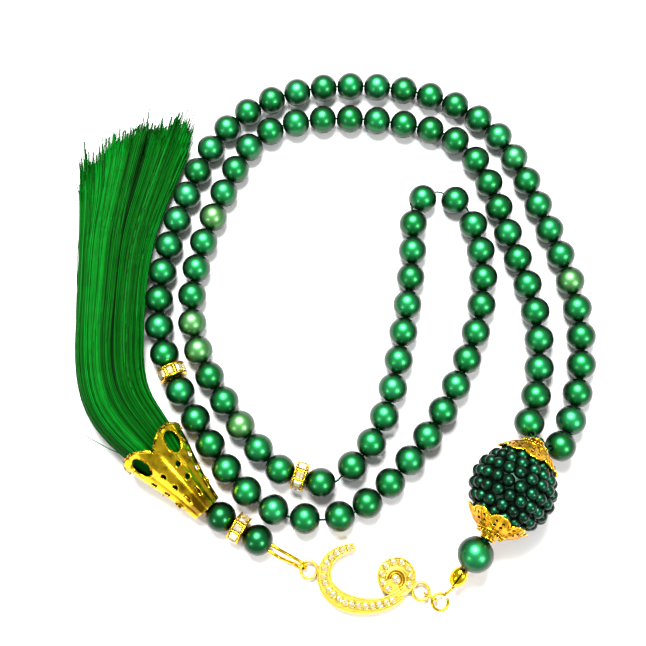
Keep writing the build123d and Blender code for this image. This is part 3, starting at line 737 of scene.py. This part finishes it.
# ---------------------------------------------------------------- jump ring
chain = heading(148.5)
ring_centre = hook_centre + chain * 2.65
ring_centre[2] = 2.2
ring = Build().add(*tube(arc(ring_centre, chain, Z, 1.85, 94, 446, 90), 0.35, 14))
place(ring.piece("jump_ring_wire", GOLD), "jump_ring", "gold", "jump_ring")

# ---------------------------------------------------------------- crescent charm
left_eye = np.array((-9.5, -64.6, 1.5))
right_eye = ring_centre + chain * 2.75
right_eye[2] = left_eye[2]
eye_r, eye_wire_r = 2.15, 0.45
charm_top = 2.6
# Middle line of the crescent from its tip to its round head, and half widths at even steps along it
CRESCENT = [(2.8, -59.4), (-3.8, -62.4), (-5.3, -66.9), (-1.9, -72.0), (3.8, -74.1), (9.0, -74.1)]
CRESCENT += [(14.0, -72.0)]
WIDTHS = [0.95, 1.55, 2.05, 1.85, 1.5, 1.45]
steps_along = 160
line = smooth_path([(x, y, 0) for x, y in CRESCENT], steps_along)
share = np.linspace(0, 1, steps_along)
half = smooth_path([(w, 0, 0) for w in WIDTHS], steps_along)[:, 0]
aside = np.cross(Z, unit(np.gradient(line, axis=0)))
# The band is fuller on its outer side than the middle line says, most of all along its first four fifths.
line = line - aside * (0.35 * np.sin(np.clip(share / 0.8, 0, 1) * pi))[:, None]
half = half + 0.3 * np.sin(np.clip(share / 0.8 + 0.1, 0, 1) * pi)


def section(w):
    """Section of the band, half width w: a flat back, a grooved side wall and a rim round a sunk channel."""
    top = charm_top
    right = [(w - 0.12, 0.0), (w - 0.02, 0.1), (w - 0.02, 0.95), (w - 0.12, 1.05), (w - 0.12, 1.2), (w, 1.3)]
    right += [(w, top - 0.2), (w - 0.07, top - 0.05), (w - 0.18, top), (w - 0.3, top - 0.05)]
    right += [(w - 0.38, top - 0.22)]
    return right + [(-x, z) for x, z in right[::-1]]


sections = np.array([[p + a * x + Z * z for x, z in section(w)] for p, a, w in zip(line, aside, half)])
rows, columns, _ = sections.shape
plate = Build().add(sections.reshape(-1, 3), [grid_faces(rows, columns), *end_faces(rows, columns)])

# Round head: a disc with a rim, and a groove and ridge curling round its middle stone
head = np.array((13.0, -67.5, 0))
curl_centre = np.array((12.8, -68.2))
EDGE_R = (4.52, 4.6, 4.75, 4.9, 5.0, 5.0, 4.9, 4.9, 5.0, 4.9)
EDGE_Z = (-0.2, -0.06, 0.0, -0.06, -0.22, -1.3, -1.4, -1.55, -1.65, -2.6)
face_rows, columns = 50, 200
rows = face_rows + len(EDGE_R)
r = np.concatenate((np.linspace(0.02, 4.45, face_rows), EDGE_R))[:, None]
turn = (np.arange(columns) * 2 * pi / columns)[None, :]
x, y = head[0] + r * np.cos(turn), head[1] + r * np.sin(turn)
from_curl = np.hypot(x - curl_centre[0], y - curl_centre[1])
angle = np.degrees(np.arctan2(y - curl_centre[1], x - curl_centre[0]))
in_arc = (angle > -70) & (angle < 175)
ridge = 0.5 * np.exp(-((np.abs(from_curl - 2.45) / 0.3) ** 2)) * in_arc
groove = 0.75 * np.exp(-((np.abs(from_curl - 1.75) / 0.42) ** 4)) * in_arc
z = np.full((rows, columns), charm_top - 0.24)
z[face_rows:] = np.array(EDGE_Z)[:, None] + charm_top
z[:face_rows] += (ridge - groove)[:face_rows]
z = np.minimum(z, charm_top + 0.1)
plate.add(np.stack((x, y, z), -1).reshape(-1, 3), [grid_faces(rows, columns), *end_faces(rows, columns)])
place(plate.piece("charm_plate", GOLD_CHARM, sharp=55), "charm", "gold", "crescent_charm")
eyes = Build()
for eye in (left_eye, right_eye):
    eyes.add(*tube(arc(eye, X, Y, eye_r, 0, 355, 72), eye_wire_r, 14, closed=True))
place(eyes.piece("charm_eyes", GOLD_CHARM), "charm", "gold")


def round_stone(r):
    """Round brilliant: table, crown facets, girdle and a short pavilion."""
    verts = []
    # Radius and height of each level of facets over the stone's radius, and its turn in facets
    facets = ((0.2, -0.4375, 0), (1, -0.0625, 0.5), (1, 0.075, 0.5), (0.8, 0.3, 0), (0.52, 0.45, 0.5))
    for wide, high, shift in facets:
        verts += [around(wide * r, (k + shift) / 8, high * r) for k in range(8)]
    return np.array(verts), [grid_faces(5, 8), *end_faces(5, 8)]


# Seats of the stones, each with its radius: along the band, round the head, and in the middle of the curl
seat_z = Z * (charm_top - 0.02)
seats = []
length = np.concatenate(([0], np.cumsum(np.linalg.norm(np.diff(line, axis=0), axis=1))))
for s in np.arange(1.3, length[-1], 1.78):
    k = min(int(np.searchsorted(length, s)), steps_along - 1)
    if np.linalg.norm(line[k] - head) > 5.5:
        seats.append((line[k] + seat_z, min(0.8, half[k] - 0.32)))
for k in range(9):
    seats.append((head + heading(-35 + 300 / 9 * k) * 3.72 + seat_z, 0.76))
seats.append(((*curl_centre, 0) + seat_z, 0.95))
stones, prongs = Build(), Build()
grain = ball(0.2, 5, 8)
for seat, radius in seats:
    spin = rng.uniform(0, pi)
    stones.add(*round_stone(radius), rng.uniform(0, 1), spin_about_z(spin), seat)
    prongs.add(*tube(arc(seat - Z * 0.1, X, Y, radius + 0.05, 0, 345, 24), 0.13, 6, closed=True))
    for k in range(4):
        prongs.add(*grain, at=seat + around(radius + 0.02, spin / (2 * pi) + (k + 0.5) / 4, 0.12))
place(stones.piece("charm_crystals", CRYSTAL_CHARM, smooth=False), "charm", "crystal", "charm_stones")
place(prongs.piece("charm_settings", GOLD_CHARM), "charm", "gold")

# ---------------------------------------------------------------- hairpin
pin_heading = heading(147.5)
pin_side = np.cross(pin_heading, Z)
eye_rim = left_eye + pin_heading * eye_r
lean = pin_side * sin(radians(35)) + Z * cos(radians(35))
first_bead, pendant_axis = joint_place("pendant_bead_1_spin")
cone_entry, _ = joint_place("tassel_cap_swing")
bead_side = unit(np.cross(pendant_axis, Z))
entry = first_bead - pendant_axis * 4.25
bend_r, in_beads = 1.2, 0.8  # half the spacing of the legs at the eye and inside the pearls


def leg(side):
    """Middle line of one leg of the hairpin, from its bend round the eye into the tassel cap."""
    start = eye_rim + lean * bend_r * side
    offset = bead_side * in_beads * side
    bent = [start, start + pin_heading * 1.6, entry - pendant_axis * 2 + offset * 1.05]
    bent += [entry + offset, entry + pendant_axis * 3 + offset]
    return np.vstack((smooth_path(bent, 40), [cone_entry + pendant_axis * 3.2 + offset]))


bend = arc(eye_rim, lean, -pin_heading, bend_r, 0, 180, 24)[1:-1]
pin = Build().add(*tube(np.vstack((leg(1)[::-1], bend, leg(-1))), 0.45, 14))
place(pin.piece("hairpin_legs", GOLD), "hairpin", "gold", "hairpin_wire")

# ---------------------------------------------------------------- tassel cap
cone_axis = heading(129.2, 11.3)
cone_origin = cone_entry + Z * 0.1
cone_turn = basis(cone_axis)
# Radius of the ridges at distances from the narrow end
RIDGE = [(0, 4.075), (6.6, 5.2), (13.3, 6.85), (18.2, 8.15), (23.4, 8.9)]
MOUTH = 17.8  # where the petals part
CONE_LENGTH = 24.6
PETAL = (MOUTH, 6.4, 5.5, 90)  # the same four numbers as an opening, below
# Openings: distance from the narrow end, half width, half length, and degrees between neighbours
OPENINGS = [(MOUTH + 1.2, 2.9, 3.3, 90), (13.7, 1.05, 1.05, 45), (9.7, 1.05, 1.05, 45), (5.2, 0.6, 1.7, 45)]
ridge_line = smooth_path([(a, b, 0) for a, b in RIDGE], 200)


def cone_radius(s, turn):
    """Radius of the four-lobed cone at a distance from its narrow end."""
    ridge = np.interp(s, ridge_line[:, 0], ridge_line[:, 1])
    return ridge * (0.855 + 0.145 * np.abs(np.cos(2 * turn)) ** 1.5)


def petal_curl(s):
    """How far the petals curl outward."""
    return 0.5 * np.clip((s - MOUTH - 1.5) / 4, 0, 1) ** 2


def lateral_of(s, turn, pitch):
    """Distance across the cone from the middle of the nearest column of openings, spaced pitch degrees."""
    pitch = radians(pitch)
    return cone_radius(s, turn) * np.sin(turn % pitch - pitch / 2)


# The first rows close the narrow end down to the bore for the hairpin's legs.
rows, columns, closing = 260, 400, 8
s = np.concatenate((np.zeros(closing), np.linspace(0, CONE_LENGTH, rows - closing)))[:, None]
fill = np.concatenate((np.linspace(0.48, 0.97, closing), np.ones(rows - closing)))[:, None]
turn = (np.arange(columns) * 2 * pi / columns)[None, :]
s, turn = s + 0 * turn, turn + 0 * s
# Vertices near the edge of an opening or a petal are moved onto it, so that the cut edge is a clean curve.
for centre_s, wide, tall, pitch in [*OPENINGS, PETAL]:
    lateral = lateral_of(s, turn, pitch)
    e = np.sqrt((lateral / wide) ** 2 + ((s - centre_s) / tall) ** 2)
    near = np.abs(e - 1) < 0.11 / min(wide, tall)
    if centre_s == MOUTH:
        near &= s > MOUTH
    step = radians(pitch)
    middle = turn - turn % step + step / 2
    moved = np.arcsin(np.clip(lateral / np.maximum(e, 0.1) / cone_radius(s, turn), -1, 1))
    s = np.where(near, centre_s + (s - centre_s) / np.maximum(e, 0.1), s)
    turn = np.where(near, middle + moved, turn)
radius = cone_radius(s, turn) * fill + petal_curl(s)
verts = np.stack((radius * np.cos(turn), radius * np.sin(turn), s), -1)
quads = grid_faces(rows, columns)


def middle_of(field):
    """Mean of a field over the corners of each face."""
    return field.reshape(-1)[quads].mean(1)


face_s = middle_of(s)
face_turn = np.arctan2(middle_of(np.sin(turn)), middle_of(np.cos(turn))) % (2 * pi)


def inside_of(opening):
    """Which faces lie inside an opening, or inside a petal's outline."""
    centre_s, wide, tall, pitch = opening
    return (lateral_of(face_s, face_turn, pitch) / wide) ** 2 + ((face_s - centre_s) / tall) ** 2 < 1


gone = (face_s > MOUTH) & ~inside_of(PETAL)
for opening in OPENINGS:
    gone |= inside_of(opening)
build = Build().add(verts.reshape(-1, 3), [quads[~gone]], turn=cone_turn, at=cone_origin)
cone = build.piece("tassel_cap_cone", GOLD_CONE)
thicken(cone, 0.6, -1.0)
place(cone, "tassel_cap", "gold", "cone_cap")


def on_cone(s, lateral, column, outward=-0.28):
    """Points in the thickness of the cone, each a distance across from the middle of a column of openings."""
    radius = cone_radius(s, np.radians(column))
    for _ in range(3):
        turn = np.radians(column) + np.arcsin(np.clip(lateral / radius, -1, 1))
        radius = cone_radius(s, turn)
    radius = radius + petal_curl(s) + outward
    return np.column_stack((radius * np.cos(turn), radius * np.sin(turn), s))


# Rolled edges round the petals, the openings and the narrow end
rolled = Build()
_, petal_half, petal_long, _ = PETAL
for column in (45, 135, 225, 315):
    sweep = np.radians(np.linspace(0, 180, 90))
    outline = on_cone(MOUTH + petal_long * np.sin(sweep), petal_half * np.cos(sweep), column)
    up_to_ridge = np.abs(petal_half * np.cos(sweep)) < 0.705 * cone_radius(MOUTH, 0.0)
    rolled.add(*tube(outline[up_to_ridge], 0.42, 10), turn=cone_turn, at=cone_origin)
for centre_s, wide, tall, pitch in OPENINGS:
    for column in np.arange(pitch / 2, 360, pitch):
        sweep = np.radians(np.arange(0, 360, 9))
        edge = on_cone(centre_s + tall * np.sin(sweep), wide * np.cos(sweep), column)
        rolled.add(*tube(edge, 0.34 if pitch == 90 else 0.3, 8, closed=True), turn=cone_turn, at=cone_origin)
sweep = np.radians(np.arange(0, 360, 3))
end_r = cone_radius(0.0, sweep) - 0.25
narrow = np.column_stack((end_r * np.cos(sweep), end_r * np.sin(sweep), 0.25 + 0 * end_r))
rolled.add(*tube(narrow, 0.3, 8, closed=True), turn=cone_turn, at=cone_origin)
place(rolled.piece("tassel_cap_edges", GOLD), "tassel_cap", "gold")

# Head of the tassel inside the cap, bound with thread
winds = 34
bound = (5.0, 14.4)
bound_length = bound[1] - bound[0]
h = np.linspace(*bound, winds * 6)
r = np.interp(h, bound, (2.5, 4.7)) + 0.16 * np.abs(np.sin((h - bound[0]) / bound_length * winds * pi))
profile = [(0.0, bound[0])] + list(zip(r, h)) + [(0.0, bound[1])]
bound_head = Build().add(*lathe(profile, 60), tone=0.45, turn=cone_turn, at=cone_origin)
place(bound_head.piece("tassel_bound_head", TASSEL), "tassel_cap", "tassel", "tassel_binding")

# ---------------------------------------------------------------- tassel skirt
in_cap = cone_origin + cone_axis * 12.6
past_petals = cone_origin + cone_axis * 20 - Z * 0.3
# Stations along the skirt: middle, half width, half height, heading
STATIONS = [
    (*in_cap, 4.8, 4.8, 129.2),
    (*past_petals, 6.5, 6.2, 127.0),
    (-58.0, -19.0, 6.6, 8.6, 6.1, 112),
    (-61.0, -3.0, 5.4, 9.2, 5.1, 97),
    (-60.6, 13.0, 4.6, 9.3, 4.4, 91),
    (-59.3, 30.0, 3.8, 10.4, 3.6, 89),
    (-56.2, 46.0, 3.2, 12.8, 3.0, 94),
    (-53.6, 61.0, 2.5, 15.4, 2.3, 97),
]
samples = 46
skirt = smooth_path(STATIONS, samples)
skirt_length = 105
lowest = 0.2  # threads lie no lower than this


def skirt_points(a, b, t):
    """Points at shares t of the skirt's length: a across and b up, as shares of its half width and height."""
    row = np.column_stack([np.interp(t, np.linspace(0, 1, samples), skirt[:, k]) for k in range(6)])
    turn = np.radians(row[:, 5] - 90)
    side = np.column_stack((np.cos(turn), np.sin(turn), 0 * turn))
    return row[:, :3] + side * (row[:, 3] * a)[:, None] + Z * (row[:, 4] * b)[:, None]


def cut_at(lean):
    """Where the threads are cut, as a share of the skirt's length: longest right of the middle."""
    return 1.004 - 0.062 * np.maximum(0.0, 0.4 - lean) ** 2 - 0.22 * np.maximum(0.0, lean - 0.4) ** 2


def hang(piece, *replaced):
    """A tassel piece baked where it lies, in place of the CAD nodes it replaces."""
    if replaced:
        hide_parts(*replaced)
    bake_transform(piece)


# Core of the tassel that shows between the threads, dark with painted shade
rows, columns = 60, 120
turn = np.arange(columns) * 2 * pi / columns
core_rings = []
for t in np.linspace(0, 1, rows):
    comb = 0.86 + 0.03 * np.sin(turn * 37 + 3 * t) + 0.02 * np.sin(turn * 61)
    taper = 1.0 if t < 0.85 else 1 - (t - 0.85) * 3
    along = t * (cut_at(np.cos(turn)) - 0.065)
    core_rings.append(skirt_points(np.cos(turn) * comb, np.sin(turn) * comb * taper, along))
faces = [grid_faces(rows, columns), *end_faces(rows, columns)]
tassel_core = Build().add(np.concatenate(core_rings), faces, tone=0.12)
hang(tassel_core.piece("tassel_core", TASSEL), "tassel_skirt")

# Threads, in locks that share a place, a shade, a sway and a length
lock_count = 70
lock_turn = rng.uniform(0, 2 * pi, lock_count)
lock_tone = rng.uniform(0.26, 0.76, lock_count)
lock_sway = rng.normal(scale=0.035, size=(lock_count, 4))
lock_end = rng.normal(scale=0.024, size=lock_count)
thread_count = 2600
t = np.linspace(0, 1, 26)
threads = Build()
for k in range(thread_count):
    lock = rng.integers(lock_count)
    turn = lock_turn[lock] + rng.normal(scale=0.09)
    depth = rng.uniform(0.86, 1.0) ** 0.5
    lean = cos(turn) * depth
    end = cut_at(lean) + lock_end[lock] + rng.normal(scale=0.014)
    end += 0.06 * (rng.random() < 0.12) * rng.random()
    wander = sum(lock_sway[lock, m] * np.sin((m + 1) * pi * t + m) for m in range(4)) * t
    loose = rng.normal(scale=0.02) * t**2 + rng.normal(scale=0.006) * np.sin(2 * pi * t)
    straying = 1 + 2 * (rng.random() < 0.05)
    splay = (0.10 * max(0.0, lean) - 0.15 * max(0.0, -lean)) * t**5
    a = depth * np.cos(turn + wander) + loose * straying + splay
    b = depth * np.sin(turn + wander) + loose * 0.5
    path = skirt_points(a, b, np.clip(t * min(end, 1.0), 0, 1))
    if end > 1.0:
        tip = unit(path[-1] - path[-3])
        path = np.vstack((path, path[-1] + tip * (end - 1.0) * skirt_length))
    path[:, 2] = np.maximum(path[:, 2], lowest)
    tone = np.clip(lock_tone[lock] + rng.normal(scale=0.26), 0, 1)
    threads.add(*tube(path, rng.uniform(0.10, 0.16), 4), tone=tone)
hang(threads.piece("tassel_threads", TASSEL))

# Stray threads: share of the skirt's length and place across it, for the ones that left its side
STRAYS = (
    ((0.40, -0.98), (0.55, -1.03), (0.70, -1.08), (0.82, -1.10), (0.92, -1.30), (1.0, -1.55)),
    ((0.34, -0.96), (0.50, -1.01), (0.66, -1.05), (0.80, -1.04), (0.90, -1.02)),
    ((0.10, -0.90), (0.14, -1.10), (0.20, -1.35), (0.245, -1.62)),
)
strays = Build()
for way in STRAYS:
    t, a = np.array(way).T
    strays.add(*tube(smooth_path(skirt_points(a, 0 * a, t), 40), 0.12, 5), tone=0.5)
# Wisps past the cut ends
flat = np.array((1, 1, 0.2))
for k in range(90):
    a = rng.uniform(-0.92, 1.0)
    b = rng.uniform(-0.6, 0.6)
    path = skirt_points(np.full(8, a), np.full(8, b), np.linspace(0.86, 0.99, 8))
    out = unit(path[-1] - path[0] + rng.normal(scale=2.2, size=3) * flat)
    length = rng.uniform(1.0, 6.5) * (0.5 + 0.5 * (1 - abs(a)))
    sag = rng.normal(scale=0.7, size=3) * (1, 1, 0.1)
    path = np.vstack((path, [path[-1] + out * length * u + sag * u * u for u in (0.33, 0.66, 1.0)]))
    path[:, 2] = np.maximum(path[:, 2], lowest)
    strays.add(*tube(smooth_path(path, 22), 0.09, 4), tone=rng.uniform(0.4, 0.9))
hang(strays.piece("tassel_strays", TASSEL))


# ---------------------------------------------------------------- floor, light, camera
def floor_material():
    """Plain pale floor, very slightly clouded."""
    shade = Shade("studio_floor")
    colour = shade.mix(shade.noise(3.0, 2.0), (0.93, 0.93, 0.93), (0.95, 0.95, 0.95))
    return shade.surface({"Base Color": colour, "Roughness": 0.9})


floor_half, floor_z = 3000, -0.05
corners = [(x * floor_half, y * floor_half, floor_z) for x, y in ((-1, -1), (1, -1), (1, 1), (-1, 1))]
floor = Build().add(corners, [np.arange(4)[None, :]])
floor.piece("studio_floor", floor_material(), smooth=False)


def soft_light(name, at, size, power):
    """Round area light aimed at the origin."""
    data = bpy.data.lights.new(name, "AREA")
    data.shape = "DISK"
    data.size = size
    data.energy = power
    lamp = bpy.data.objects.new(name, data)
    bpy.context.scene.collection.objects.link(lamp)
    at = np.asarray(at, float)
    lamp.matrix_world = Matrix.LocRotScale(at * MM, Matrix(basis(unit(at), X).tolist()), None)


soft_light("light_above", (-30, 190, 420), 0.24, 5.4)
soft_light("light_right", (330, -330, 420), 0.08, 2.0)
soft_light("light_left", (-380, -260, 300), 0.10, 0.5)
world = bpy.data.worlds.new("studio")
world.use_nodes = True
world.node_tree.nodes["Background"].inputs["Color"].default_value = (1, 1, 1, 1)
world.node_tree.nodes["Background"].inputs["Strength"].default_value = 0.38
bpy.context.scene.world = world
bpy.context.scene.view_settings.view_transform = "Standard"

camera_data = bpy.data.cameras.new("camera")
camera_data.sensor_width = 36.0
camera_data.lens = 46.94
camera_data.clip_start = 0.01
camera = bpy.data.objects.new("camera", camera_data)
bpy.context.scene.collection.objects.link(camera)
tilt, roll = radians(75.17), radians(-3.18)
forward = np.array((0, cos(tilt), -sin(tilt)))
level_up = np.array((0, sin(tilt), cos(tilt)))
image_right = cos(roll) * X + sin(roll) * level_up
image_up = cos(roll) * level_up - sin(roll) * X
camera_turn = Matrix(np.column_stack((image_right, image_up, -forward)).tolist())
camera.matrix_world = Matrix.LocRotScale((-2.3 * MM, -59.0 * MM, 228.8 * MM), camera_turn, None)
bpy.context.scene.camera = camera

bpy.context.view_layer.update()
